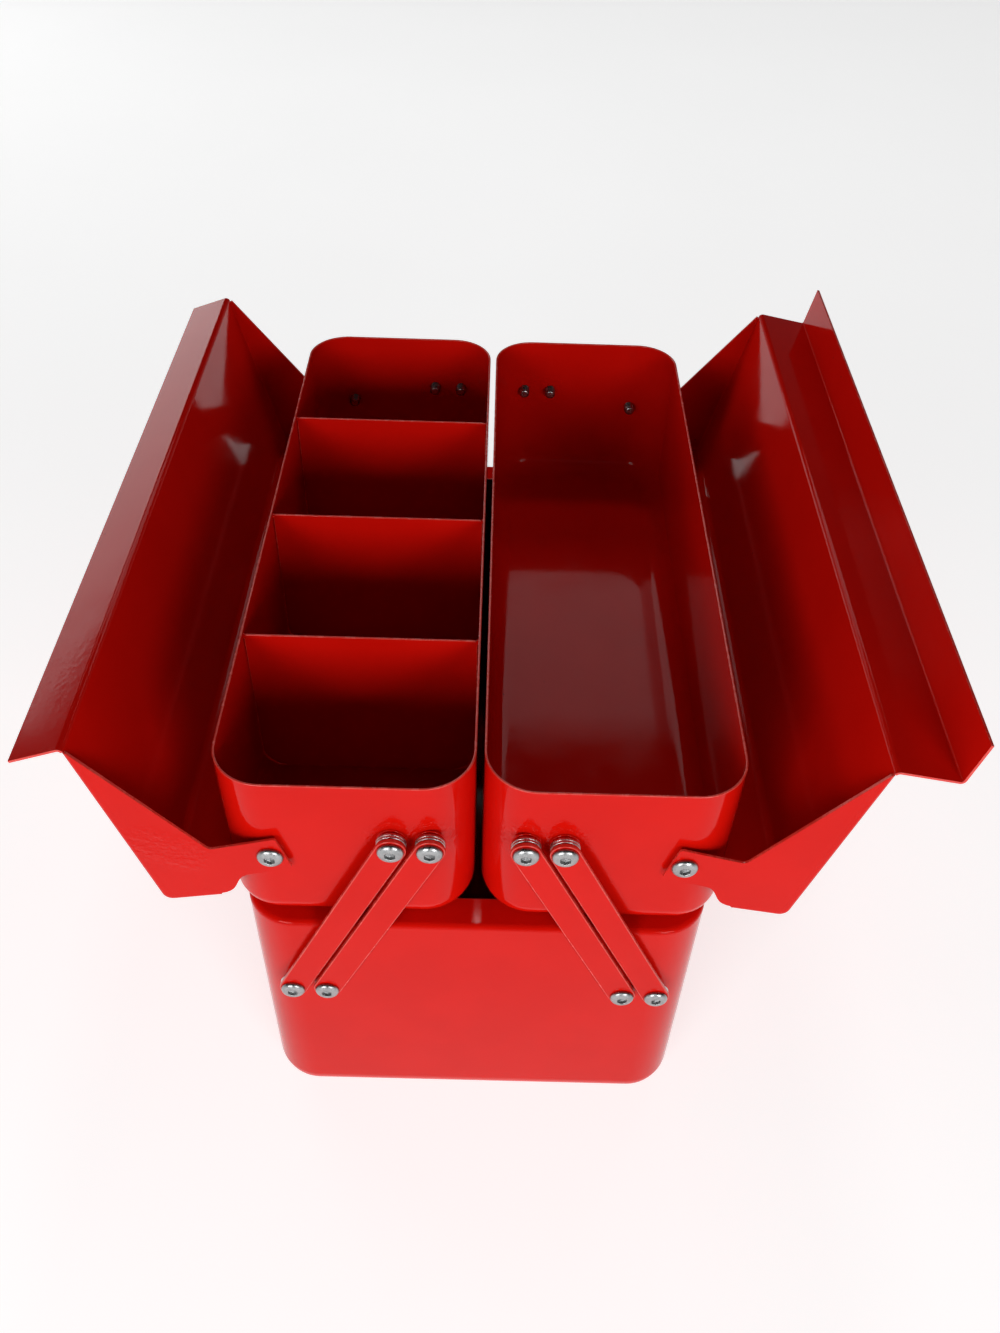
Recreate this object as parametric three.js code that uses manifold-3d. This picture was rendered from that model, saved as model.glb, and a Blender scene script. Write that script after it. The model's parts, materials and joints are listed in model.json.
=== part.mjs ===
// A two-tray cantilever toolbox in enamelled sheet steel, standing with its lids open.
//
// Millimetres, +Z up. The origin is on the floor, under the middle of the base. X runs across the
// box, from the left tray to the right tray, and Y runs along it, from the front end to the rear.
// A deep-drawn base carries two trays side by side. Each tray hangs on four parallel arms, two at
// each end, and swings up and out over its side of the base. Each tray carries half of the lid,
// which turns on one screw at each end of the tray.

import * as THREE from 'three';
import { mergeVertices } from 'three/addons/utils/BufferGeometryUtils.js';
import Module from 'manifold-3d';

const wasm = await Module();
wasm.setup();

// ---- driving dimensions ----

const gap = 0.3;                  // running clearance between pieces that touch
const sheet = 1;                  // thickness of the base, the trays and the lids
const cornerSteps = 3;            // straight steps in each half of a round corner
const edgeSteps = 5;              // straight steps round a drawn bottom edge
const weld = 1e-4;                // corners nearer than this are one corner
const beyond = 1000;              // longer than anything in the box

const base = {
  width: 200,
  length: 339,
  height: 154,
  cornerRadius: 22,
  bottomRadius: 18,
  flangeAtEnd: 15,                // inward flange that the trays come down on
  flangeAtSide: 9,
  mouthRadius: 12,
};

const tray = {
  width: 102,
  length: 334,
  height: 87,
  cornerRadius: 21,
  bottomRadius: 12,
  middleGap: 3,                   // between the two trays
  liftOverBase: 1,                // between a tray's bottom and the base's flange
};

const divider = {
  spacing: tray.length / 4,
  belowRim: 1.5,
  cornerRadius: 12,
};

const arm = {
  width: 12.2,
  thickness: 2,
  basePivotHeight: 107,
  baseOuterX: 81.6,
  trayPivotBelowRim: 30.5,
  trayOuterX: 34,
  pivotSpacing: 15.3,             // the same on the base and on the tray, so a tray stays level
};

const screw = {
  radius: 3,
  headRadius: 5.25,
  headHeight: 2.4,
  headEdge: 0.7,
  domeSteps: 3,
  socketRadius: 2.3,
  socketSides: 6,
  socketDepth: 1.5,
  reachInside: 6,                 // how far the tip stands out inside the wall
  tipChamfer: 0.6,
  sides: 12,
};

const hole = {
  radius: screw.radius + gap,
  depth: 6,                       // passes through a wall from its outer face
};

const washer = {
  radius: 6,
  thickness: 1.2,
  groove: 1.2,                    // depth of the neck between a tall spacer's two rims
  stacked: 3.6,                   // a spacer taller than this has a neck
};

const lid = {
  pivotX: 82,
  pivotBelowRim: 40,
  openAngle: 101,                 // degrees, from closed over the tray to hanging open
  plate: 1.2,                     // thickness of an end plate
  shoulder: 23,                   // from the pivot out to the side wall
  wallFoot: 28,                   // heights above the pivot, with the lid closed
  wallTop: 52,
  ridgeFoot: 56,
  ridgeIn: 72,                    // from the pivot in to the ridge
  ridgeHeight: 26,                // upright flange of the right lid
  capWidth: 21.2,                 // strip that laps over the left lid's flange
  leftRidgeHeight: 21.5,
  leftRidgeLean: 3.5,
  earWidth: 19.2,
  earEnd: 5.7,                    // from the pivot to the end of the ear
  earLean: 5,                     // degrees that the ear leans outward
  earRoot: 22,                    // height above the pivot where the ear meets the plate
  earFlare: 12,                   // height where the ear's outer edge turns out to the wall
};

// ---- places worked out from them ----

const trayBottom = base.height + tray.liftOverBase;
const rimHeight = trayBottom + tray.height;
const trayCentreX = (tray.middleGap + tray.width) / 2;
const baseWallY = base.length / 2;
const trayWallY = tray.length / 2;
const trayPivotHeight = rimHeight - arm.trayPivotBelowRim;

// distances out from the middle of the box, at either end
const armY = baseWallY + gap + washer.thickness + gap;
const plateY = trayWallY + gap + washer.thickness + gap;

// ---- materials ----

const red = new THREE.MeshStandardMaterial({ color: 0xc41208, roughness: 0.16, metalness: 0.0 });
const steel = new THREE.MeshStandardMaterial({ color: 0xc3c5c8, roughness: 0.3, metalness: 1.0 });

// ---- solids ----

// Turns a closed geometry into a solid that can be joined and cut.
function solid(geometry) {
  const plain = geometry.clone();
  plain.deleteAttribute('normal');
  plain.deleteAttribute('uv');
  const merged = mergeVertices(plain, weld);
  const corners = merged.index.array;
  const triangles = [];
  for (let i = 0; i < corners.length; i += 3) {
    const [a, b, c] = [corners[i], corners[i + 1], corners[i + 2]];
    if (a !== b && b !== c && c !== a) triangles.push(a, b, c);
  }
  return new wasm.Manifold(new wasm.Mesh({
    numProp: 3,
    vertProperties: merged.attributes.position.array,
    triVerts: new Uint32Array(triangles),
  }));
}

function toGeometry(body) {
  const result = body.getMesh();
  const geometry = new THREE.BufferGeometry();
  geometry.setAttribute('position', new THREE.BufferAttribute(result.vertProperties, 3));
  geometry.setIndex(new THREE.BufferAttribute(result.triVerts, 1));
  geometry.computeVertexNormals();
  return geometry;
}

function addPiece(parent, name, body, material, x = 0, y = 0, z = 0) {
  const mesh = new THREE.Mesh(toGeometry(body), material);
  mesh.name = name;
  mesh.position.set(x, y, z);
  parent.add(mesh);
  return mesh;
}

// A rectangle with round corners, centred on the origin.
function roundedRectangle(width, height, radius) {
  const [x, y] = [width / 2 - radius, height / 2 - radius];
  const shape = new THREE.Shape();
  shape.absarc(x, y, radius, 0, Math.PI / 2);
  shape.absarc(-x, y, radius, Math.PI / 2, Math.PI);
  shape.absarc(-x, -y, radius, Math.PI, 1.5 * Math.PI);
  shape.absarc(x, -y, radius, 1.5 * Math.PI, 2 * Math.PI);
  shape.closePath();
  return shape;
}

// A drawing in X and Z, made thickness deep along Y and centred on the given Y.
function plateAcrossY(shape, thickness, y = 0, steps = cornerSteps) {
  const geometry = new THREE.ExtrudeGeometry(shape, {
    depth: thickness,
    bevelEnabled: false,
    curveSegments: steps,
  });
  geometry.rotateX(Math.PI / 2);
  geometry.translate(0, y + thickness / 2, 0);
  return solid(geometry);
}

function rodAlongY(radius, length, x, y, z) {
  const geometry = new THREE.CylinderGeometry(radius, radius, length, screw.sides);
  geometry.translate(x, y, z);
  return solid(geometry);
}

// The block that fills a deep-drawn box whose corners are round in plan and whose bottom edge is
// round too. With a wall it is the hollow inside. Its sides run up past the box's height.
function drawnBlock({ width, length, height, cornerRadius, bottomRadius }, wall = 0) {
  const round = bottomRadius - wall;
  const plan = roundedRectangle(width - 2 * wall, length - 2 * wall, cornerRadius - wall);
  const geometry = new THREE.ExtrudeGeometry(plan, {
    depth: height - wall,
    bevelThickness: round,
    bevelSize: round,
    bevelOffset: -round,
    bevelSegments: edgeSteps,
    curveSegments: cornerSteps,
  });
  geometry.translate(0, 0, wall + round);
  return solid(geometry);
}

function above(height) {
  const block = new THREE.BoxGeometry(beyond, beyond, beyond);
  return solid(block.translate(0, 0, height + beyond / 2));
}

function drillEnds(body, length, places) {
  let drilled = body;
  for (const [x, z] of places) {
    for (const end of [-1, 1]) {
      drilled = drilled.subtract(rodAlongY(hole.radius, hole.depth, x, end * length / 2, z));
    }
  }
  return drilled;
}

// ---- base ----

function makeBase() {
  const mouth = roundedRectangle(base.width - 2 * base.flangeAtSide,
    base.length - 2 * base.flangeAtEnd, base.mouthRadius);
  const opening = solid(new THREE.ExtrudeGeometry(mouth, {
    depth: base.height,
    bevelEnabled: false,
    curveSegments: cornerSteps,
  }).translate(0, 0, base.height / 2));
  const underFlange = drawnBlock(base, sheet).subtract(above(base.height - sheet));
  const outside = drawnBlock(base).subtract(above(base.height));
  const pivots = [basePivotX('outer'), basePivotX('inner')];
  const places = pivots.flatMap((x) => [[x, arm.basePivotHeight], [-x, arm.basePivotHeight]]);
  return drillEnds(outside.subtract(underFlange).subtract(opening), base.length, places);
}

// ---- pivots ----

function basePivotX(row) {
  return row === 'outer' ? arm.baseOuterX : arm.baseOuterX - arm.pivotSpacing;
}

function trayPivotX(row) {
  return row === 'outer' ? arm.trayOuterX : arm.trayOuterX - arm.pivotSpacing;
}

// A button-head screw along Y. The underside of its head is at the origin, the head is towards -Y
// and the shank runs reach along +Y.
function makeScrew(reach) {
  const { radius, headRadius, headHeight, headEdge, domeSteps, tipChamfer } = screw;
  const profile = [
    [0, reach],
    [radius - tipChamfer, reach],
    [radius, reach - tipChamfer],
    [radius, 0],
    [headRadius, 0],
  ];
  for (let i = 0; i < domeSteps; i += 1) {
    const angle = i / domeSteps * Math.PI / 2;
    const rise = (headHeight - headEdge) * Math.sin(angle);
    profile.push([headRadius * Math.cos(angle), -headEdge - rise]);
  }
  profile.push([0, -headHeight]);
  const points = profile.map(([r, y]) => new THREE.Vector2(r, y)).reverse();
  const body = solid(new THREE.LatheGeometry(points, screw.sides));
  const socket = new THREE.CylinderGeometry(screw.socketRadius, screw.socketRadius,
    2 * screw.socketDepth, screw.socketSides);
  socket.translate(0, -headHeight, 0);
  return body.subtract(solid(socket));
}

// A washer, or a taller spacer with a neck between its two rims, from y = 0 towards -Y.
function makeSpacer(thickness) {
  const bore = hole.radius;
  const rim = washer.thickness;
  const profile = [[bore, 0], [washer.radius, 0]];
  if (thickness > washer.stacked) {
    const neck = washer.radius - washer.groove;
    profile.push([washer.radius, -rim], [neck, -rim]);
    profile.push([neck, rim - thickness], [washer.radius, rim - thickness]);
  }
  profile.push([washer.radius, -thickness], [bore, -thickness], [bore, 0]);
  const points = profile.map(([r, y]) => new THREE.Vector2(r, y)).reverse();
  return solid(new THREE.LatheGeometry(points, screw.sides));
}

// One pivot at one end of the box: a spacer against the wall and a screw over whatever turns on
// it. wallY and turningY are distances out from the middle of the box.
function addPivot(parent, name, end, x, z, wallY, turningY, turningThickness) {
  const side = end === 'front' ? -1 : 1;
  const turn = end === 'front' ? 0 : Math.PI;
  const spacerY = wallY + gap;
  const headY = turningY + turningThickness + gap;
  const spacer = makeSpacer(turningY - gap - spacerY);
  const spacerMesh = addPiece(parent, `${name}_spacer_${end}`, spacer, steel, x, side * spacerY, z);
  spacerMesh.rotation.z = turn;
  const screwBody = makeScrew(headY - wallY + sheet + screw.reachInside);
  const screwMesh = addPiece(parent, `${name}_screw_${end}`, screwBody, steel, x, side * headY, z);
  screwMesh.rotation.z = turn;
}

// ---- trays ----

function makeTray(side) {
  const centre = side * trayCentreX;
  const height = tray.height - arm.trayPivotBelowRim;
  const places = [
    [side * lid.pivotX - centre, tray.height - lid.pivotBelowRim],
    [side * trayPivotX('outer') - centre, height],
    [side * trayPivotX('inner') - centre, height],
  ];
  const shell = drawnBlock(tray).subtract(above(tray.height)).subtract(drawnBlock(tray, sheet));
  return drillEnds(shell, tray.length, places);
}

// A cross wall whose lower corners follow the inside of the tray.
function makeDivider() {
  const half = tray.width / 2 - sheet - gap;
  const foot = sheet + gap;
  const top = tray.height - divider.belowRim;
  const radius = divider.cornerRadius;
  const shape = new THREE.Shape();
  shape.moveTo(half, top);
  shape.lineTo(-half, top);
  shape.absarc(radius - half, foot + radius, radius, Math.PI, 1.5 * Math.PI);
  shape.absarc(half - radius, foot + radius, radius, 1.5 * Math.PI, 2 * Math.PI);
  shape.closePath();
  return plateAcrossY(shape, sheet);
}

// ---- arms ----

// A flat bar with round ends, from its base pivot at the origin out along +X.
function makeArm(length) {
  const radius = arm.width / 2;
  const shape = new THREE.Shape();
  shape.absarc(0, 0, radius, Math.PI / 2, 1.5 * Math.PI);
  shape.absarc(length, 0, radius, -Math.PI / 2, Math.PI / 2);
  shape.closePath();
  for (const x of [0, length]) {
    const bore = new THREE.Path();
    bore.absarc(x, 0, hole.radius, 0, 2 * Math.PI, true);
    shape.holes.push(bore);
  }
  return plateAcrossY(shape, arm.thickness, 0, screw.sides / 2);
}

// ---- lids ----

// The outline of a bent strip of sheet, from its middle line.
function stripOutline(line, thickness) {
  const points = line.map(([x, z]) => new THREE.Vector2(x, z));
  const normals = points.slice(1).map((point, i) => {
    const along = point.clone().sub(points[i]).normalize();
    return new THREE.Vector2(-along.y, along.x);
  });
  const offsets = points.map((point, i) => {
    const before = normals[Math.max(i - 1, 0)];
    const after = normals[Math.min(i, normals.length - 1)];
    const mitre = before.clone().add(after).normalize();
    return mitre.multiplyScalar(thickness / 2 / mitre.dot(after));
  });
  const oneFace = points.map((point, i) => point.clone().add(offsets[i]));
  const otherFace = points.map((point, i) => point.clone().sub(offsets[i]));
  return new THREE.Shape([...oneFace, ...otherFace.reverse()]);
}

// Half of the lid, closed, with its pivot at the origin. side is 1 on the right and -1 on the left.
function makeLid(side) {
  const wallFoot = [lid.shoulder, lid.wallFoot];
  const wallTop = [lid.shoulder, lid.wallTop];
  const ridgeFoot = [-lid.ridgeIn, lid.ridgeFoot];
  const rightEdge = [
    [-lid.ridgeIn, lid.ridgeFoot + lid.ridgeHeight],
    [-lid.ridgeIn - lid.capWidth, lid.ridgeFoot + lid.ridgeHeight],
  ];
  const leftEdge = [[-lid.ridgeIn + lid.leftRidgeLean, lid.ridgeFoot + lid.leftRidgeHeight]];
  const line = [wallFoot, wallTop, ridgeFoot, ...(side > 0 ? rightEdge : leftEdge)];
  const plateOuterY = plateY + lid.plate;
  const flip = ([x, z]) => [side * x, z];
  const shell = plateAcrossY(stripOutline(line.map(flip), sheet), 2 * plateOuterY);

  const half = lid.earWidth / 2;
  const face = sheet / 2;
  const lean = THREE.MathUtils.degToRad(lid.earLean);
  const onEar = (across, along) => [
    across * Math.cos(lean) + along * Math.sin(lean),
    along * Math.cos(lean) - across * Math.sin(lean),
  ];
  const outline = [
    onEar(-half, -lid.earEnd),
    onEar(half, -lid.earEnd),
    onEar(half, lid.earFlare),
    [lid.shoulder + face, lid.wallFoot],
    [lid.shoulder + face, lid.wallTop + face],
    [-lid.ridgeIn, lid.ridgeFoot + face],
    onEar(-half, lid.earRoot),
  ];
  const plateShape = new THREE.Shape(outline.map(flip).map(([x, z]) => new THREE.Vector2(x, z)));
  const middle = plateY + lid.plate / 2;
  const front = plateAcrossY(plateShape, lid.plate, -middle);
  const rear = plateAcrossY(plateShape, lid.plate, middle);
  return shell.add(front).add(rear).subtract(rodAlongY(hole.radius, beyond, 0, 0, 0));
}

// ---- assembly ----

const toolbox = new THREE.Group();
addPiece(toolbox, 'base_tub', makeBase(), red);

for (const [name, side] of [['left', -1], ['right', 1]]) {
  const centre = side * trayCentreX;
  addPiece(toolbox, `${name}_tray`, makeTray(side), red, centre, 0, trayBottom);

  for (const row of ['outer', 'inner']) {
    const fromX = side * basePivotX(row);
    const toX = side * trayPivotX(row);
    const [dx, dz] = [toX - fromX, trayPivotHeight - arm.basePivotHeight];
    const bar = makeArm(Math.hypot(dx, dz));
    for (const end of ['front', 'rear']) {
      const y = (end === 'front' ? -1 : 1) * (armY + arm.thickness / 2);
      const armName = `${name}_${row}_arm_${end}`;
      const armMesh = addPiece(toolbox, armName, bar, red, fromX, y, arm.basePivotHeight);
      armMesh.rotation.y = -Math.atan2(dz, dx);
      addPivot(toolbox, `${name}_${row}_base`, end, fromX, arm.basePivotHeight,
        baseWallY, armY, arm.thickness);
      addPivot(toolbox, `${name}_${row}_tray`, end, toX, trayPivotHeight,
        trayWallY, armY, arm.thickness);
    }
  }

  const lidX = side * lid.pivotX;
  const lidZ = rimHeight - lid.pivotBelowRim;
  for (const end of ['front', 'rear']) {
    addPivot(toolbox, `${name}_lid`, end, lidX, lidZ, trayWallY, plateY, lid.plate);
  }
  const hinge = new THREE.Group();
  hinge.position.set(lidX, 0, lidZ);
  hinge.rotation.y = side * THREE.MathUtils.degToRad(lid.openAngle);
  addPiece(hinge, `${name}_lid`, makeLid(side), red);
  toolbox.add(hinge);
}

for (const [name, place] of [['front', -1], ['middle', 0], ['rear', 1]]) {
  addPiece(toolbox, `${name}_divider`, makeDivider(), red,
    -trayCentreX, place * divider.spacing, trayBottom);
}

export default toolbox;
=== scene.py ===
import json
import math

import bmesh
import bpy
from mathutils import Matrix, Vector


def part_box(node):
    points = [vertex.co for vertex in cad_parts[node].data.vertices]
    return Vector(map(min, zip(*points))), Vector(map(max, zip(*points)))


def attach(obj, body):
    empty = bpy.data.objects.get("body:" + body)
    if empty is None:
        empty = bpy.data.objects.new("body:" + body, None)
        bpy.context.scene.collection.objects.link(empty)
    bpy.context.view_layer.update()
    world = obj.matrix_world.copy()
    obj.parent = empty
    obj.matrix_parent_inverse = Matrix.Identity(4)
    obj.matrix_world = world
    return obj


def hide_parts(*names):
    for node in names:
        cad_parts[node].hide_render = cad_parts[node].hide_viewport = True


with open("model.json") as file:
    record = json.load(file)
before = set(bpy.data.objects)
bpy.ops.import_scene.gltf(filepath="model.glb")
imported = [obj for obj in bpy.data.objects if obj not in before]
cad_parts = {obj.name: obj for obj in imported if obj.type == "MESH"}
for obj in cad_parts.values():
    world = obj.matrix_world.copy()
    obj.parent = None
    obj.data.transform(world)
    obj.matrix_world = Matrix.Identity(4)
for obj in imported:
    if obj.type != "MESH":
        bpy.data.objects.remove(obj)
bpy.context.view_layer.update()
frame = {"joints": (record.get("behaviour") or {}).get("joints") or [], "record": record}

# A two-tray cantilever toolbox in red stove enamel. Metres, +Z up, X across the trays, Y from the
# front end to the rear. A finer mesh stands for each CAD node.

MM = 0.001
QUARTER = math.radians(90)
ENDS = {"front": -1, "rear": 1}
SIDES = {"left": -1, "right": 1}
PIVOT = {joint["name"]: Vector(joint["pos_m"]) for joint in frame["joints"]}

# ---- sizes that the boxes of the CAD nodes don't give ----

# base and trays
SHEET = 1.0 * MM
BASE_CORNER = 22 * MM
BASE_FOOT = 18 * MM
BASE_BEND = 2.6 * MM
MOUTH_CORNER = 12 * MM
FLANGE_SIDE = 9 * MM
FLANGE_END = 15 * MM
TRAY_CORNER = 21 * MM
TRAY_FOOT = 12 * MM

# dividers
DIVIDER_FOOT = 12 * MM
DIVIDER_TOP = 1.6 * MM
DIVIDER_EDGE = 0.4 * MM
WELD_BEAD = 0.9 * MM
BEAD_SHAPE = (1, 1.6, 0.9, 1)

# arms
ARM_WIDTH = 12.2 * MM
ARM_EDGE = 0.45 * MM
BORE = 3.3 * MM

# lids, closed, seen from their pivot: X out from the box, Z up
LID_SHEET = 1.1 * MM
LID_SHOULDER = 23 * MM
LID_WALL_FOOT = 28 * MM
LID_WALL_TOP = 52 * MM
LID_RIDGE_FOOT = 56 * MM
LID_RIDGE_IN = 72 * MM
RIGHT_RIDGE = 26 * MM
RIGHT_CAP = 21.2 * MM
LEFT_RIDGE = 21.5 * MM
LEFT_LEAN = 3.5 * MM
BEND_RADII = (4.0 * MM, 1.8 * MM, 1.4 * MM)
END_FOLD = 1.5 * MM
LID_EDGE = 0.3 * MM
LID_OPEN = math.radians(101)
EAR_WIDTH = 19.2 * MM
EAR_END = 5.7 * MM
EAR_LEAN = math.radians(5)
EAR_ROOT = 22 * MM
EAR_FLARE = 12 * MM
EAR_CORNERS = (1.4 * MM, 1.2 * MM)
EAR_ROOT_CORNER = 3.0 * MM
FLARE_INSET = 1.5 * MM
FLARE_PULL = 0.7
FLARE_START_PULL = 0.9
FLARE_END_PULL = 0.75
PLATE_TOP_INSET = (2.0 * MM, 1.4 * MM)

# screws
SCREW_HEAD = 5.25 * MM
SCREW_HEAD_HEIGHT = 2.4 * MM
SCREW_SHANK = 3 * MM
SOCKET = 2.0 * MM
SOCKET_DEPTH = 1.5 * MM
SOCKET_POINT = 0.3 * MM
SOCKET_POINT_WIDTH = 0.3 * SOCKET
SOCKET_FLARE = 0.15 * MM
SOCKET_FLARE_DEPTHS = (0.22 * MM, 0.05 * MM)
LIP = ((1.26 * SOCKET, 0), (1.34 * SOCKET, 0), (1.42 * SOCKET, 0.12 * MM))
DOME_INNER = 1.5 * SOCKET
DOME_TOP = 0.1 * MM
DOME_FOOT = SCREW_HEAD_HEIGHT - 0.5 * MM
DOME_POWER = 0.8
HEAD_SIDE = 0.2 * MM
HEAD_CHAMFER = 0.15 * MM
SHANK_FILLET = 0.2 * MM
THREAD_LENGTH = 8 * MM
THREAD_PITCH = 1.0 * MM
THREAD_DEPTH = 0.5 * MM
THREAD_RUNOUT = 0.6 * MM
TIP_LENGTH = 1.1 * MM
TIP_SLOPE = 0.9
TIP_PLAIN = 0.5 * MM
TIP_ROUND = ((SCREW_SHANK - 0.75 * MM, 0.2 * MM), (0.5 * SCREW_SHANK, 0))

# washers and the bosses under them
WASHER = 6 * MM
WASHER_THICK = 1.2 * MM
WASHER_EDGE = 0.35 * MM
LID_WASHER = 4.8 * MM
STACK_GAP = 0.05 * MM
BOSS = 5.3 * MM
BOSS_CHAMFER = (0.3 * MM, 0.25 * MM)
BOSS_FILLET = 1.4 * MM
BOSS_FILLET_SHARE = 0.6

# steps round the curves
CORNER_STEPS = 14
FOOT_STEPS = 9
RIM_STEPS = 6
SIDE_STEPS = 6
TURN_STEPS = 48
BORE_STEPS = 32
ARM_STEPS = 18
DOME_STEPS = 9
BEND_STEPS = 7
FOLD_STEPS = 5
FLARE_STEPS = 10
DIVIDER_STEPS = 10
EAR_STEPS = 5
BOSS_STEPS = 5
EDGE_STEPS = 3
LID_LENGTHS = 24
THREAD_STEPS = 8
BEAD_SUBDIVISIONS = 3

# a bend sharper than this keeps its crease, and a lid's edge sharper than this is softened
CREASE = math.radians(50)
LID_EDGE_BEND = math.radians(60)

# ---- finishes ----

ENAMEL_TONES = ((0.615, 0.0046, 0.0016), (0.645, 0.0054, 0.0022))
SPECK_TONE = (0.12, 0.004, 0.003)
SPECK_STRENGTH = 0.7
SPECK_RADIUS = (0.035, 0.055)
SPECKLESS_SHARE = 0.93
# paler tones for the sheet's cut edges: a painted highlight
EDGE_HIGHLIGHT_TONES = ((0.68, 0.030, 0.020), (0.72, 0.070, 0.050))
HEAD_ZINC = (0.42, 0.425, 0.43)
WASHER_ZINC = (0.62, 0.61, 0.60)
DULL_PATCH = 0.78

# roughness where the surface is smoothest and dullest
ENAMEL_ROUGHNESS = (0.06, 0.13)
EDGE_ROUGHNESS = (0.18, 0.34)
ZINC_ROUGHNESS = (0.24, 0.38)
ENAMEL_SPECULAR = 0.10

# texture scales, in features per metre
CLOUDS = 24
WAVES = 38
HANDLING = 60
SPECKS = 95
EDGE_PATCHES = 130
ZINC_PATCHES = 380
PEEL = 420
WRINKLES = 520
ZINC_DULLING = 900
ZINC_GRAIN = 2600

# the part of a noise's values that a texture is read from
CLOUD_RANGE = (0.35, 0.65)
HANDLING_RANGE = (0.3, 0.75)
PATCH_RANGE = (0.35, 0.7)
EVEN_RANGE = (0.3, 0.7)

# heights of the relief
WAVE_HEIGHT = 0.1 * MM
PEEL_HEIGHT = 0.035 * MM
EDGE_PEEL_HEIGHT = 0.03 * MM
SPECK_HEIGHT = 0.08 * MM
WRINKLE_HEIGHT = 0.5 * MM
GRAIN_HEIGHT = 0.03 * MM

# how far the film is puckered, and the share of that where it is puckered most
PUCKER_CORE = 0.45
TRAY_PUCKER = 15 * MM
LID_PUCKER = 14 * MM
LID_PUCKER_PLACES = ((34 * MM, 0), (46 * MM, 6 * MM))

# ---- studio ----

FLOOR_HALF = 6
FLOOR_TONES = ((0.60, 0.60, 0.60), (0.63, 0.63, 0.63))
FLOOR_CLOUDS = 3
FLOOR_ROUGHNESS = 0.75
FLOOR_SPECULAR = 0.2
FLOOR_GLOW = 0.70
WALL_GLOW = 0.36
CEILING_GLOW = 0.012
WALL_TOP_LOW = math.sin(math.radians(4))
WALL_TOP_HIGH = math.sin(math.radians(30))
LEFT_WALL = 1.35
RIGHT_WALL = 0.65

# place, target, width, height and radiance, where 1 is as bright as white paper
PANELS = {
    "front_left_panel": ((-0.5, -1.15, 0.54), (0, -0.1, 0.17), 0.45, 0.42, 8.5),
    "front_right_panel": ((0.5, -1.15, 0.54), (0, -0.1, 0.17), 0.45, 0.42, 8.5),
    "rear_panel": ((0.0, 1.6, 1.69), (0, 0, 0.15), 2.6, 0.4, 1.8),
    "rear_left_panel": ((-1.35, 1.5, 0.62), (0, 0, 0.2), 1.0, 0.5, 2.5),
    "overhead": ((0.1, 0.9, 2.0), (0, 0, 0.15), 0.32, 0.2, 14.0),
}

# angles in radians; the tilt is down from the horizon
CAMERA_PLACE = Vector((1.93, -444.14, 581.59)) * MM
CAMERA_PAN = 0.0142
CAMERA_TILT = 0.7791
CAMERA_ROLL = 0.0382
CAMERA_LENS = 31.53
CAMERA_SENSOR = 36


# ---- materials ----

def new_material(name):
    """A new material, its node tree, its shader and the surface's place as a texture vector."""
    material = bpy.data.materials.new(name)
    material.use_nodes = True
    tree = material.node_tree
    where = tree.nodes.new("ShaderNodeTexCoord").outputs["Object"]
    return material, tree, tree.nodes["Principled BSDF"], where


def node(tree, kind, **inputs):
    made = tree.nodes.new(kind)
    for key, value in inputs.items():
        made.inputs[key.replace("_", " ")].default_value = value
    return made


def noise(tree, where, scale, detail=3.0, roughness=0.5):
    made = node(tree, "ShaderNodeTexNoise", Scale=scale, Detail=detail, Roughness=roughness)
    tree.links.new(where, made.inputs["Vector"])
    return made.outputs["Fac"]


def maths(tree, operation, first, second):
    made = tree.nodes.new("ShaderNodeMath")
    made.operation = operation
    for socket, value in zip(made.inputs, (first, second)):
        if isinstance(value, (int, float)):
            socket.default_value = value
        else:
            tree.links.new(value, socket)
    return made.outputs[0]


def spread(tree, value, low, high, to_low=0, to_high=1):
    """value, read from low..high on to to_low..to_high with soft ends."""
    made = tree.nodes.new("ShaderNodeMapRange")
    made.interpolation_type = "SMOOTHSTEP"
    tree.links.new(value, made.inputs["Value"])
    keys = ("From Min", "From Max", "To Min", "To Max")
    for key, number in zip(keys, (low, high, to_low, to_high)):
        made.inputs[key].default_value = number
    return made.outputs["Result"]


def blend_colours(tree, factor, first, second):
    made = tree.nodes.new("ShaderNodeMix")
    made.data_type = "RGBA"
    tree.links.new(factor, made.inputs["Factor"])
    for socket, colour in ((made.inputs[6], first), (made.inputs[7], second)):
        if isinstance(colour, tuple):
            socket.default_value = (*colour, 1)
        else:
            tree.links.new(colour, socket)
    return made.outputs[2]


def bump(tree, height, distance, strength, after=None):
    made = node(tree, "ShaderNodeBump", Distance=distance, Strength=strength)
    tree.links.new(height, made.inputs["Height"])
    if after is not None:
        tree.links.new(after, made.inputs["Normal"])
    return made.outputs["Normal"]


def nearness(tree, where, points, radius):
    """1 round the points, fading to 0 at radius from them."""
    nearest = None
    for point in points:
        made = tree.nodes.new("ShaderNodeVectorMath")
        made.operation = "DISTANCE"
        tree.links.new(where, made.inputs[0])
        made.inputs[1].default_value = point
        away = made.outputs["Value"]
        nearest = away if nearest is None else maths(tree, "MINIMUM", nearest, away)
    return spread(tree, nearest, radius * PUCKER_CORE, radius, 1, 0)


def rare_specks(tree, where):
    """1 on a small round speck in about one cell in fourteen, and 0 elsewhere."""
    cells = node(tree, "ShaderNodeTexVoronoi", Scale=SPECKS)
    tree.links.new(where, cells.inputs["Vector"])
    speck = spread(tree, cells.outputs["Distance"], *SPECK_RADIUS, 1, 0)
    chosen = tree.nodes.new("ShaderNodeSeparateColor")
    tree.links.new(cells.outputs["Color"], chosen.inputs["Color"])
    rare = maths(tree, "GREATER_THAN", chosen.outputs[0], SPECKLESS_SHARE)
    return maths(tree, "MULTIPLY", speck, rare)


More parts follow.
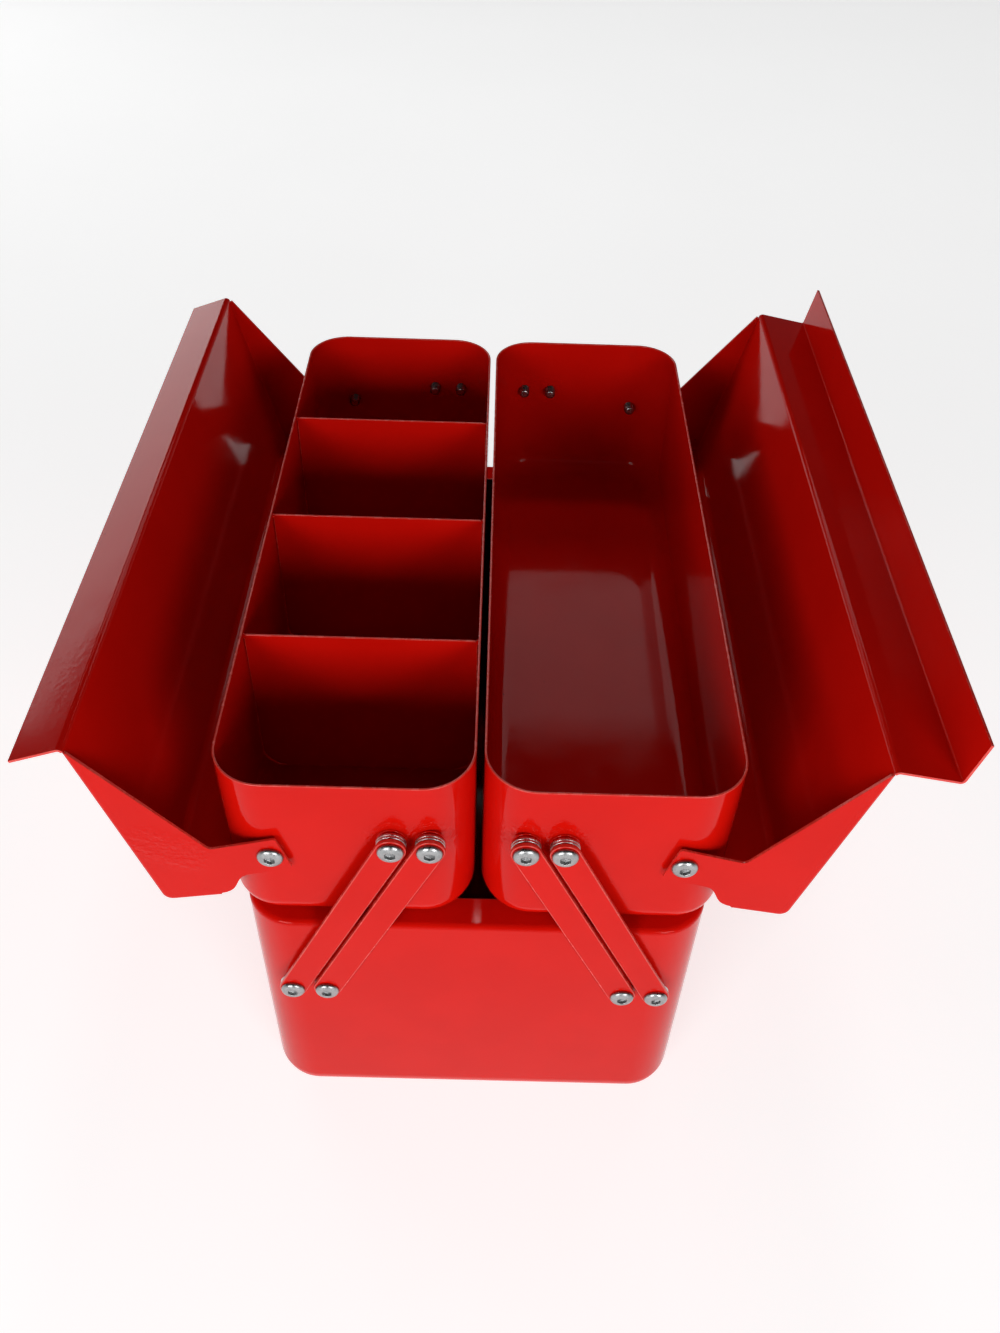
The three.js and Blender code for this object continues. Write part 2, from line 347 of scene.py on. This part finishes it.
def make_enamel(name, puckered=(), pucker_radius=0.0):
    """Glossy red stove enamel. The film is puckered round the given points."""
    material, tree, shader, where = new_material(name)
    clouds = spread(tree, noise(tree, where, CLOUDS, 4), *CLOUD_RANGE)
    speck = rare_specks(tree, where)
    colour = blend_colours(tree, clouds, *ENAMEL_TONES)
    speck_mask = maths(tree, "MULTIPLY", speck, SPECK_STRENGTH)
    colour = blend_colours(tree, speck_mask, colour, SPECK_TONE)
    tree.links.new(colour, shader.inputs["Base Color"])

    handled = noise(tree, where, HANDLING, 5, 0.6)
    roughness = spread(tree, handled, *HANDLING_RANGE, *ENAMEL_ROUGHNESS)
    tree.links.new(roughness, shader.inputs["Roughness"])

    waves = bump(tree, noise(tree, where, WAVES, 1), WAVE_HEIGHT, 0.5)
    peel = bump(tree, noise(tree, where, PEEL, 2, 0.4), PEEL_HEIGHT, 0.55, waves)
    film = bump(tree, speck, SPECK_HEIGHT, 0.8, peel)
    if puckered:
        mask = nearness(tree, where, puckered, pucker_radius)
        wrinkles = maths(tree, "MULTIPLY", noise(tree, where, WRINKLES, 2, 0.35), mask)
        film = bump(tree, wrinkles, WRINKLE_HEIGHT, 0.8, film)
    tree.links.new(film, shader.inputs["Normal"])
    shader.inputs["Specular IOR Level"].default_value = ENAMEL_SPECULAR
    return material


def make_edge_highlight_enamel():
    """The film on a cut edge of the sheet, painted paler in patches: a painted highlight along the edge.
    """
    material, tree, shader, where = new_material("edge_highlight_enamel")
    # patches that vary the painted highlight's tone and the edge's roughness
    highlight_patches = spread(tree, noise(tree, where, EDGE_PATCHES, 5, 0.65), *PATCH_RANGE)
    tree.links.new(blend_colours(tree, highlight_patches, *EDGE_HIGHLIGHT_TONES), shader.inputs["Base Color"])
    tree.links.new(spread(tree, highlight_patches, 0, 1, *EDGE_ROUGHNESS), shader.inputs["Roughness"])
    film = bump(tree, noise(tree, where, PEEL, 2, 0.4), EDGE_PEEL_HEIGHT, 0.5)
    tree.links.new(film, shader.inputs["Normal"])
    return material


def make_zinc(name, tone):
    """Bright zinc plate on cold-formed steel, with a faint grain and dull patches."""
    material, tree, shader, where = new_material(name)
    patch = spread(tree, noise(tree, where, ZINC_PATCHES, 4, 0.6), *PATCH_RANGE)
    dull = tuple(DULL_PATCH * channel for channel in tone)
    tree.links.new(blend_colours(tree, patch, tone, dull), shader.inputs["Base Color"])
    dulling = noise(tree, where, ZINC_DULLING, 3)
    roughness = spread(tree, dulling, *EVEN_RANGE, *ZINC_ROUGHNESS)
    tree.links.new(roughness, shader.inputs["Roughness"])
    grain = bump(tree, noise(tree, where, ZINC_GRAIN, 3, 0.6), GRAIN_HEIGHT, 0.5)
    tree.links.new(grain, shader.inputs["Normal"])
    shader.inputs["Metallic"].default_value = 1
    return material


# ---- meshes ----

def make_object(name, bm, materials, body, nodes):
    """One piece from a bmesh: it rides on the body, and stands for the CAD nodes."""
    bmesh.ops.recalc_face_normals(bm, faces=bm.faces)
    mesh = bpy.data.meshes.new(name)
    bm.to_mesh(mesh)
    bm.free()
    for material in materials:
        mesh.materials.append(material)
    mesh.shade_smooth()
    piece = bpy.data.objects.new(name, mesh)
    bpy.context.scene.collection.objects.link(piece)
    mesh.set_sharp_from_angle(angle=CREASE)
    weighted = piece.modifiers.new("normals", "WEIGHTED_NORMAL")
    weighted.keep_sharp = True
    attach(piece, body)
    if nodes:
        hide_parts(*nodes)
    return piece


def quarter(steps):
    """Cosine and sine along a quarter turn, both ends in."""
    turns = [QUARTER * step / steps for step in range(steps + 1)]
    return [(math.cos(turn), math.sin(turn)) for turn in turns]


def circle(radius, x=0.0, z=0.0, steps=TURN_STEPS):
    turns = [math.tau * step / steps for step in range(steps)]
    return [Vector((x + radius * math.cos(turn), 0, z + radius * math.sin(turn))) for turn in turns]


def rounded_ring(half_x, half_y, radius, z):
    """A rounded rectangle. Every ring has the same number of points, so rings can be lofted."""
    corners = ((1, 1), (-1, 1), (-1, -1), (1, -1))

    def on_corner(turn, part):
        sx, sy = corners[turn % 4]
        angle = QUARTER * (turn + part)
        centre = Vector((sx * (half_x - radius), sy * (half_y - radius), z))
        return centre + Vector((radius * math.cos(angle), radius * math.sin(angle), 0))

    points = []
    for turn in range(4):
        points += [on_corner(turn, step / CORNER_STEPS) for step in range(CORNER_STEPS + 1)]
        before, after = points[-1], on_corner(turn + 1, 0)
        points += [before.lerp(after, step / SIDE_STEPS) for step in range(1, SIDE_STEPS)]
    return points


def loft(bm, rings, closed=False, edge=range(0)):
    """Quads between rings of equal length. Unless closed, the first and last ring are filled.
    The bands numbered in edge take the second material, the edge's painted highlight."""
    rows = [[bm.verts.new(point) for point in ring] for ring in rings]
    pairs = list(zip(rows, rows[1:]))
    if closed:
        pairs.append((rows[-1], rows[0]))
    for band, (low, high) in enumerate(pairs):
        for i, vert in enumerate(low):
            j = (i + 1) % len(low)
            bm.faces.new((vert, low[j], high[j], high[i])).material_index = int(band in edge)
    if not closed:
        bm.faces.new(rows[0][::-1])
        bm.faces.new(rows[-1])


def shift(bm, offset):
    bmesh.ops.translate(bm, vec=offset, verts=bm.verts)


def tub_size(name):
    """Half width, half length and height of a node, and the middle of its underside."""
    low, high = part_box(name)
    foot = Vector(((low.x + high.x) / 2, (low.y + high.y) / 2, low.z))
    return (high.x - low.x) / 2, (high.y - low.y) / 2, high.z - low.z, foot


def drawn_tub(half_x, half_y, corner, foot, top_rings):
    """Rings of a deep-drawn tub: up the outside, over whatever top_rings makes, down the inside."""
    def at(inset, z):
        return rounded_ring(half_x - inset, half_y - inset, corner - inset, z)
    outside = [at(foot * (1 - s), foot * (1 - c)) for c, s in quarter(FOOT_STEPS)]
    inner = foot - SHEET
    inside = [at(SHEET + inner * (1 - s), SHEET + inner * (1 - c)) for c, s in quarter(FOOT_STEPS)]
    return outside + top_rings(at) + inside[::-1]


def half_turn():
    """Angles over a rounded edge, from its outer face to its inner one."""
    return [QUARTER * step / RIM_STEPS for step in range(2 * RIM_STEPS + 1)]


def make_base(materials):
    half_x, half_y, height, foot = tub_size("base_tub")

    def flange(at):
        inner = BASE_BEND - SHEET
        bend = quarter(RIM_STEPS)
        mouth_x, mouth_y = half_x - FLANGE_SIDE, half_y - FLANGE_END
        rings = [at(BASE_BEND * (1 - c), height - BASE_BEND * (1 - s)) for c, s in bend]
        for angle in half_turn():
            out = SHEET / 2 * (1 - math.sin(angle))
            z = height - SHEET / 2 * (1 - math.cos(angle))
            rings.append(rounded_ring(mouth_x + out, mouth_y + out, MOUTH_CORNER + out, z))
        under = [at(SHEET + inner * (1 - c), height - SHEET - inner * (1 - s)) for c, s in bend[::-1]]
        return rings + under

    bm = bmesh.new()
    mouth_band = FOOT_STEPS + RIM_STEPS + 2
    rings = drawn_tub(half_x, half_y, BASE_CORNER, BASE_FOOT, flange)
    loft(bm, rings, edge=range(mouth_band, mouth_band + 2 * RIM_STEPS))
    shift(bm, foot)
    make_object("base_shell", bm, materials, "base", ["base_tub"])


def make_tray(side, materials):
    name = f"{side}_tray"
    half_x, half_y, height, foot = tub_size(name)

    def rim(at):
        return [at(SHEET / 2 * (1 - math.cos(angle)), height - SHEET / 2 * (1 - math.sin(angle)))
                for angle in half_turn()]

    bm = bmesh.new()
    rim_band = FOOT_STEPS + 1
    rings = drawn_tub(half_x, half_y, TRAY_CORNER, TRAY_FOOT, rim)
    loft(bm, rings, edge=range(rim_band, rim_band + 2 * RIM_STEPS))
    shift(bm, foot)
    make_object(f"{name}_shell", bm, materials, name, [name])


def fillet(points, radii, steps):
    """An outline in X and Z with its corners rounded to the given radii."""
    outline = []
    for i, (point, radius) in enumerate(zip(points, radii)):
        if radius == 0:
            outline.append(point)
            continue
        before = (points[i - 1] - point).normalized()
        after = (points[(i + 1) % len(points)] - point).normalized()
        opening = before.angle(after)
        reach = radius / math.tan(opening / 2)
        centre = point + (before + after).normalized() * radius / math.sin(opening / 2)
        start, end = point + before * reach - centre, point + after * reach - centre
        swing = start.angle(end)
        for step in range(steps + 1):
            part = step / steps
            ray = start * math.sin((1 - part) * swing) + end * math.sin(part * swing)
            outline.append(centre + ray / math.sin(swing))
    return outline


def plate(bm, outline, holes, thickness, edge):
    """A flat plate across Y with its edges rounded, centred on Y = 0."""
    def inward(loop, distance):
        moved = []
        for i, point in enumerate(loop):
            along = (loop[(i + 1) % len(loop)] - loop[i - 1]).normalized()
            moved.append(point + Vector((-along.z, 0, along.x)) * distance)
        return moved

    def area(loop):
        return sum(a.x * b.z - b.x * a.z for a, b in zip(loop, loop[1:] + loop[:1]))

    caps = {1: [], -1: []}
    for loop in [outline, *holes]:
        solid = 1 if (area(loop) > 0) == (loop is outline) else -1
        rings = []
        for cosine, sine in quarter(EDGE_STEPS):
            ring = inward(loop, solid * edge * (1 - sine))
            rings.append([p + Vector((0, thickness / 2 - edge * (1 - cosine), 0)) for p in ring])
        rings += [[Vector((p.x, -p.y, p.z)) for p in ring] for ring in rings[::-1]]
        rows = [[bm.verts.new(point) for point in ring] for ring in rings]
        # the rounded edge takes the second material, a painted highlight
        for low, high in zip(rows, rows[1:]):
            for i, vert in enumerate(low):
                j = (i + 1) % len(low)
                bm.faces.new((vert, low[j], high[j], high[i])).material_index = 1
        for which, row in ((1, rows[0]), (-1, rows[-1])):
            caps[which] += [bm.edges.get((row[i - 1], row[i])) for i in range(len(row))]
    for edges in caps.values():
        bmesh.ops.triangle_fill(bm, edges=edges, use_beauty=True)


def make_divider(name, materials):
    """A cross wall of the left tray, with a weld bead at each end of its top edge."""
    low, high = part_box(name)
    corners = [(low.x, low.z), (high.x, low.z), (high.x, high.z), (low.x, high.z)]
    radii = [DIVIDER_FOOT, DIVIDER_FOOT, DIVIDER_TOP, DIVIDER_TOP]
    outline = fillet([Vector((x, 0, z)) for x, z in corners], radii, DIVIDER_STEPS)
    bm = bmesh.new()
    plate(bm, outline, [], high.y - low.y, DIVIDER_EDGE)
    for x in (low.x, high.x):
        bead = Matrix.Translation((x, 0, high.z - WELD_BEAD)) @ Matrix.Diagonal(BEAD_SHAPE)
        bmesh.ops.create_icosphere(bm, subdivisions=BEAD_SUBDIVISIONS, radius=WELD_BEAD, matrix=bead)
    shift(bm, Vector((0, (low.y + high.y) / 2, 0)))
    make_object(f"{name}_wall", bm, materials, "left_tray", [name])


def arm_pivots(side, row):
    """Base and tray pivot of an arm, from the screws at its ends."""
    places = []
    for at in ("base", "tray"):
        low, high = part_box(f"{side}_{row}_{at}_screw_front")
        places.append(Vector(((low.x + high.x) / 2, 0, (low.z + high.z) / 2)))
    return places


def make_arm(side, row, end, materials):
    name = f"{side}_{row}_arm_{end}"
    low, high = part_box(name)
    foot, head = arm_pivots(side, row)
    along = (head - foot).normalized()
    across = Vector((-along.z, 0, along.x))
    outline = []
    for centre, start in ((foot, 90), (head, -90)):
        for step in range(ARM_STEPS + 1):
            angle = math.radians(start + 180 * step / ARM_STEPS)
            ray = along * math.cos(angle) + across * math.sin(angle)
            outline.append(centre + ray * ARM_WIDTH / 2)
    bores = [circle(BORE, p.x, p.z, BORE_STEPS) for p in (foot, head)]
    bm = bmesh.new()
    plate(bm, outline, bores, high.y - low.y, ARM_EDGE)
    shift(bm, Vector((0, (low.y + high.y) / 2, 0)))
    make_object(f"{name}_link", bm, materials, name, [name])


# ---- screws and washers ----

def pivot_frame(name):
    """Which way a screw or spacer points in from its outer end, that end's middle, and its length."""
    low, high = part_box(name)
    facing = 1 if name.endswith("front") else -1
    outer_y = low.y if facing > 0 else high.y
    return facing, Vector(((low.x + high.x) / 2, outer_y, (low.z + high.z) / 2)), high.y - low.y


def placed(rings, facing, centre):
    """Rings drawn along +Y from the origin, turned to point in from one end of the box."""
    return [[Vector((p.x, facing * p.y, p.z)) + centre for p in ring] for ring in rings]


def turned(bm, profile, centre, facing):
    """A closed profile of (radius, distance along Y) turned about Y."""
    turns = [math.tau * i / TURN_STEPS for i in range(TURN_STEPS)]
    rings = [[Vector((radius * math.cos(turn), y, radius * math.sin(turn))) for turn in turns]
             for radius, y in profile]
    loft(bm, placed(rings, facing, centre), closed=True)


def hexagon(apothem, y):
    ring = []
    for i in range(TURN_STEPS):
        angle = math.tau * i / TURN_STEPS
        reach = apothem / math.cos((angle + math.pi / 6) % (math.pi / 3) - math.pi / 6)
        ring.append(Vector((reach * math.cos(angle), y, reach * math.sin(angle))))
    return ring


def screw_ring(radius, y, thread=0.0):
    """A ring of a screw. thread is how much of the thread's depth is cut there, from 0 to 1."""
    points = []
    for i in range(TURN_STEPS):
        part = i / TURN_STEPS
        angle = math.tau * part
        wave = abs((y / THREAD_PITCH - part) % 1 - 0.5) * 2
        reach = radius - thread * THREAD_DEPTH * (1 - wave)
        points.append(Vector((reach * math.cos(angle), y, reach * math.sin(angle))))
    return points


def head_rings():
    """The hexagon socket, the lip round it, the dome and the side of a button head."""
    flare_start, flare_end = SOCKET_FLARE_DEPTHS
    rings = [hexagon(SOCKET_POINT_WIDTH, SOCKET_DEPTH + SOCKET_POINT), hexagon(SOCKET, SOCKET_DEPTH)]
    rings += [hexagon(SOCKET, flare_start), hexagon(SOCKET + SOCKET_FLARE, flare_end)]
    rings += [screw_ring(radius, y) for radius, y in LIP]
    for cosine, sine in quarter(DOME_STEPS)[::-1]:
        y = DOME_TOP + (DOME_FOOT - DOME_TOP) * (1 - sine) ** DOME_POWER
        rings.append(screw_ring(DOME_INNER + (SCREW_HEAD - DOME_INNER) * cosine, y))
    rings.append(screw_ring(SCREW_HEAD, SCREW_HEAD_HEIGHT - HEAD_SIDE))
    rings.append(screw_ring(SCREW_HEAD - HEAD_CHAMFER, SCREW_HEAD_HEIGHT))
    return rings


def shank_rings(length):
    """A plain shank with a rolled thread near its tip, which tapers."""
    thread_start = length - THREAD_LENGTH
    rings = [screw_ring(SCREW_SHANK + SHANK_FILLET, SCREW_HEAD_HEIGHT)]
    rings.append(screw_ring(SCREW_SHANK, SCREW_HEAD_HEIGHT + SHANK_FILLET))
    rings.append(screw_ring(SCREW_SHANK, thread_start - THREAD_PITCH))
    step = THREAD_PITCH / THREAD_STEPS
    count = int((length - TIP_PLAIN - thread_start) / step)
    for i in range(count + 1):
        y = thread_start + i * step
        taper = max(0, y - (length - TIP_LENGTH)) * TIP_SLOPE
        thread = min(1, i / THREAD_STEPS) * (1 - taper / THREAD_RUNOUT)
        rings.append(screw_ring(SCREW_SHANK - taper, y, thread))
    return rings + [screw_ring(radius, length - short) for radius, short in TIP_ROUND]


def make_screw(name, body, zinc):
    facing, centre, length = pivot_frame(name)
    bm = bmesh.new()
    loft(bm, placed(head_rings() + shank_rings(length), facing, centre))
    make_object(f"{name}_zinc", bm, [zinc], body, [name])


def washer_profile(start, end, outer):
    """A ring's section with its outer edges rolled over, from start to end along Y."""
    rolled = [(outer - WASHER_EDGE * (1 - s), WASHER_EDGE * (1 - c)) for c, s in quarter(EDGE_STEPS)]
    section = [(BORE, start)] + [(radius, start + inset) for radius, inset in rolled]
    section += [(radius, end - inset) for radius, inset in rolled[::-1]]
    return section + [(BORE, end)]


def boss_profile(start, end):
    """A ring's section, narrow under the washers, with a fillet where it meets the wall."""
    size = min(BOSS_FILLET, (end - start) * BOSS_FILLET_SHARE)
    across, along = BOSS_CHAMFER
    section = [(BORE, start), (BOSS - across, start), (BOSS, start + along)]
    section += [(BOSS + size * (1 - c), end - size * (1 - s)) for c, s in quarter(BOSS_STEPS)]
    return section + [(BORE, end)]


def make_spacer(name, body, zinc, enamel):
    """One washer, or two washers on a painted boss that stands out from the wall."""
    facing, centre, length = pivot_frame(name)
    if length < 2 * WASHER_THICK:
        washers = [(0, length)]
    else:
        middle = WASHER_THICK + STACK_GAP
        washers = [(0, WASHER_THICK), (middle, middle + WASHER_THICK)]
        boss = bmesh.new()
        turned(boss, boss_profile(middle + WASHER_THICK + STACK_GAP, length), centre, facing)
        make_object(f"{name}_boss", boss, [enamel], body, [])
    outer = LID_WASHER if "_lid_" in name else WASHER
    bm = bmesh.new()
    for start, end in washers:
        turned(bm, washer_profile(start, end, outer), centre, facing)
    make_object(f"{name}_washers", bm, [zinc], body, [name])


# ---- lids ----

def lid_profile(side):
    """The middle line of the folded sheet, closed, from the foot of the side wall to the ridge."""
    line = [(LID_SHOULDER, LID_WALL_FOOT), (LID_SHOULDER, LID_WALL_TOP), (-LID_RIDGE_IN, LID_RIDGE_FOOT)]
    if side == "right":
        top = LID_RIDGE_FOOT + RIGHT_RIDGE
        line += [(-LID_RIDGE_IN, top), (-LID_RIDGE_IN - RIGHT_CAP, top)]
    else:
        line += [(LEFT_LEAN - LID_RIDGE_IN, LID_RIDGE_FOOT + LEFT_RIDGE)]
    return [Vector((x, 0, z)) for x, z in line]


def bent_line(side):
    """The middle line with its bends rounded, and the number of the point where the roof ends."""
    corners = lid_profile(side)
    line, arc_starts = [corners[0]], []
    for i in range(1, len(corners) - 1):
        arc_starts.append(len(line))
        line += fillet(corners[i - 1:i + 2], [0, BEND_RADII[i - 1], 0], BEND_STEPS)[1:-1]
    return line + [corners[-1]], arc_starts[1]


def ear_outline():
    """The plate's free edge from the wall's foot round the ear to the ridge, as seen closed."""
    def on_ear(across, along):
        return Vector((across * math.cos(EAR_LEAN) + along * math.sin(EAR_LEAN), 0,
                       along * math.cos(EAR_LEAN) - across * math.sin(EAR_LEAN)))
    half = EAR_WIDTH / 2
    start, end = Vector((LID_SHOULDER - FLARE_INSET, 0, LID_WALL_FOOT)), on_ear(half, EAR_FLARE)
    pull = Vector((0, 0, -FLARE_PULL * (start.z - end.z)))
    first, second = start + pull * FLARE_START_PULL, end - pull * FLARE_END_PULL
    flare = []
    for step in range(1, FLARE_STEPS):
        t = step / FLARE_STEPS
        s = 1 - t
        flare.append(start * s ** 3 + first * 3 * t * s ** 2 + second * 3 * t ** 2 * s + end * t ** 3)
    corners = [end, on_ear(half, -EAR_END), on_ear(-half, -EAR_END), on_ear(-half, EAR_ROOT)]
    ridge = Vector((-LID_RIDGE_IN + PLATE_TOP_INSET[0], 0, LID_RIDGE_FOOT - PLATE_TOP_INSET[1]))
    rounded = fillet([*corners, ridge, start], [0, *EAR_CORNERS, EAR_ROOT_CORNER, 0, 0], EAR_STEPS)
    return flare + rounded[:-2]


def add_folded_sheet(bm, line, roof_end, end_y):
    """The bent sheet as columns of points along Y, folded over at its ends as far as the roof
    goes. Returns those columns."""
    columns = []
    for i, point in enumerate(line):
        along = (line[min(i + 1, len(line) - 1)] - line[max(i - 1, 0)]).normalized()
        normal = Vector((-along.z, 0, along.x))
        folded = i <= roof_end
        reach = end_y - END_FOLD if folded else end_y
        ys = [reach * (2 * step / LID_LENGTHS - 1) for step in range(LID_LENGTHS + 1)]
        column = [point + Vector((0, y, 0)) for y in ys]
        if folded:
            turn = [(END_FOLD * (1 - c), reach + END_FOLD * s) for c, s in quarter(FOLD_STEPS)[1:]]
            front = [point + normal * inset - Vector((0, y, 0)) for inset, y in turn[::-1]]
            rear = [point + normal * inset + Vector((0, y, 0)) for inset, y in turn]
            column = front + column + rear
        else:
            column = [None] * FOLD_STEPS + column + [None] * FOLD_STEPS
        columns.append([bm.verts.new(place) if place is not None else None for place in column])
    for first, second in zip(columns, columns[1:]):
        for j in range(len(first) - 1):
            corners = (first[j], first[j + 1], second[j + 1], second[j])
            if None not in corners:
                bm.faces.new(corners)
    return columns[:roof_end + 1]


def add_end_plate(bm, folds, y):
    """The flat end plate between the folded edge and the ear's outline, with the pivot's bore."""
    free = [bm.verts.new(point + Vector((0, y, 0))) for point in ear_outline()]
    bore = [bm.verts.new(point + Vector((0, y, 0))) for point in circle(BORE, steps=BORE_STEPS)]
    edges = []
    for ring in (folds[::-1] + free, bore):
        for i in range(len(ring)):
            pair = (ring[i - 1], ring[i])
            edges.append(bm.edges.get(pair) or bm.edges.new(pair))
    bmesh.ops.triangle_fill(bm, edges=edges, use_beauty=True)


def thicken(piece):
    """Gives a single sheet its thickness and soft edges, before its normals are weighted."""
    thick = piece.modifiers.new("sheet", "SOLIDIFY")
    thick.thickness = LID_SHEET
    thick.offset = 0
    thick.use_even_offset = True
    # the sheet's cut rim takes the second material, a painted highlight
    thick.material_offset_rim = 1
    edges = piece.modifiers.new("edges", "BEVEL")
    edges.width = LID_EDGE
    edges.segments = 2
    edges.limit_method = "ANGLE"
    edges.angle_limit = LID_EDGE_BEND
    piece.modifiers.move(piece.modifiers.find("normals"), len(piece.modifiers) - 1)


def make_lid(side, materials):
    name = f"{side}_lid"
    low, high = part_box(name)
    end_y = (high.y - low.y) / 2 - LID_SHEET / 2
    line, roof_end = bent_line(side)
    bm = bmesh.new()
    columns = add_folded_sheet(bm, line, roof_end, end_y)
    for sign, place in ((-1, 0), (1, -1)):
        add_end_plate(bm, [column[place] for column in columns], sign * end_y)
    bmesh.ops.recalc_face_normals(bm, faces=bm.faces)
    turn = Matrix.Rotation(LID_OPEN, 4, "Y")
    mirror = Matrix.Scale(SIDES[side], 4, (1, 0, 0))
    to_pivot = Matrix.Translation(PIVOT[f"{name}_close"])
    bmesh.ops.transform(bm, matrix=to_pivot @ mirror @ turn, verts=bm.verts)
    thicken(make_object(f"{name}_sheet", bm, materials, name, [name]))


# ---- assembly ----

def tray_pucker_points(side):
    """Where the arms' bosses meet the end walls of a tray."""
    points = []
    low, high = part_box(f"{side}_tray")
    for row in ("outer", "inner"):
        for end, sign in ENDS.items():
            near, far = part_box(f"{side}_{row}_tray_spacer_{end}")
            wall_y = low.y if sign < 0 else high.y
            points.append(((near.x + far.x) / 2, wall_y, (near.z + far.z) / 2))
    return points


def lid_pucker_points():
    """Spots on the left lid's end plates, out from the ear."""
    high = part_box("left_lid")[1]
    pivot = PIVOT["left_lid_close"]
    return [(pivot.x - out, sign * high.y, pivot.z + up)
            for sign in ENDS.values() for out, up in LID_PUCKER_PLACES]


def build():
    head_zinc = make_zinc("bright_zinc", HEAD_ZINC)
    washer_zinc = make_zinc("washer_zinc", WASHER_ZINC)
    red = make_enamel("red_enamel")
    # the paler film on cut edges, a painted highlight along them
    edge = make_edge_highlight_enamel()
    lid_enamel = {
        "left": make_enamel("left_lid_enamel", lid_pucker_points(), LID_PUCKER),
        "right": make_enamel("right_lid_enamel"),
    }
    make_base([red, edge])
    for name in ("front_divider", "middle_divider", "rear_divider"):
        make_divider(name, [red, edge])
    for side in SIDES:
        tray_enamel = make_enamel(f"{side}_tray_enamel", tray_pucker_points(side), TRAY_PUCKER)
        make_tray(side, [tray_enamel, edge])
        make_lid(side, [lid_enamel[side], edge])
        for row in ("outer", "inner"):
            for end in ENDS:
                make_arm(side, row, end, [red, edge])
    for body, members in frame["record"]["behaviour"]["bodies"].items():
        for name in members:
            if "_screw_" in name:
                make_screw(name, body, head_zinc)
            elif "_spacer_" in name:
                make_spacer(name, body, washer_zinc, red)


# ---- floor, light and camera ----

def make_floor():
    """A white studio floor with a glow of its own, so that shadows on it stay light."""
    material, tree, shader, where = new_material("pale_floor")
    shade = spread(tree, noise(tree, where, FLOOR_CLOUDS, 3), *EVEN_RANGE)
    tree.links.new(blend_colours(tree, shade, *FLOOR_TONES), shader.inputs["Base Color"])
    shader.inputs["Roughness"].default_value = FLOOR_ROUGHNESS
    shader.inputs["Specular IOR Level"].default_value = FLOOR_SPECULAR
    shader.inputs["Emission Color"].default_value = (1, 1, 1, 1)
    shader.inputs["Emission Strength"].default_value = FLOOR_GLOW
    bm = bmesh.new()
    bmesh.ops.create_grid(bm, x_segments=1, y_segments=1, size=FLOOR_HALF)
    mesh = bpy.data.meshes.new("floor")
    bm.to_mesh(mesh)
    bm.free()
    mesh.materials.append(material)
    floor = bpy.data.objects.new("floor", mesh)
    bpy.context.scene.collection.objects.link(floor)


def add_panel(name, place, target, width, height, radiance):
    """A soft rectangular light at place, facing target."""
    light = bpy.data.lights.new(name, "AREA")
    light.shape = "RECTANGLE"
    light.size = width
    light.size_y = height
    light.energy = radiance * width * height * math.pi
    panel = bpy.data.objects.new(name, light)
    panel.location = place
    panel.visible_camera = False
    panel.rotation_euler = (Vector(target) - Vector(place)).to_track_quat("-Z", "Y").to_euler()
    bpy.context.scene.collection.objects.link(panel)


def add_world():
    """A studio with pale walls, brighter on the left, and a dark ceiling."""
    world = bpy.data.worlds.new("studio")
    world.use_nodes = True
    tree = world.node_tree
    direction = tree.nodes.new("ShaderNodeSeparateXYZ")
    tree.links.new(tree.nodes.new("ShaderNodeTexCoord").outputs["Generated"], direction.inputs[0])
    wall = spread(tree, direction.outputs["Z"], WALL_TOP_LOW, WALL_TOP_HIGH, WALL_GLOW, CEILING_GLOW)
    across = spread(tree, direction.outputs["X"], -1, 1, LEFT_WALL, RIGHT_WALL)
    background = tree.nodes["Background"]
    background.inputs["Color"].default_value = (1, 1, 1, 1)
    tree.links.new(maths(tree, "MULTIPLY", wall, across), background.inputs["Strength"])
    bpy.context.scene.world = world


def add_camera():
    """A camera above the front end, looking down along the box."""
    camera = bpy.data.objects.new("camera", bpy.data.cameras.new("camera"))
    camera.data.lens = CAMERA_LENS
    camera.data.sensor_width = CAMERA_SENSOR
    camera.data.clip_start = 0.01
    turn = Matrix.Rotation(-CAMERA_PAN, 4, "Z") @ Matrix.Rotation(QUARTER - CAMERA_TILT, 4, "X")
    camera.matrix_world = Matrix.Translation(CAMERA_PLACE) @ turn @ Matrix.Rotation(CAMERA_ROLL, 4, "Z")
    bpy.context.scene.collection.objects.link(camera)
    bpy.context.scene.camera = camera


add_camera()
build()
make_floor()
add_world()
for panel_name, settings in PANELS.items():
    add_panel(panel_name, *settings)
bpy.context.scene.view_settings.view_transform = "Standard"

bpy.context.view_layer.update()
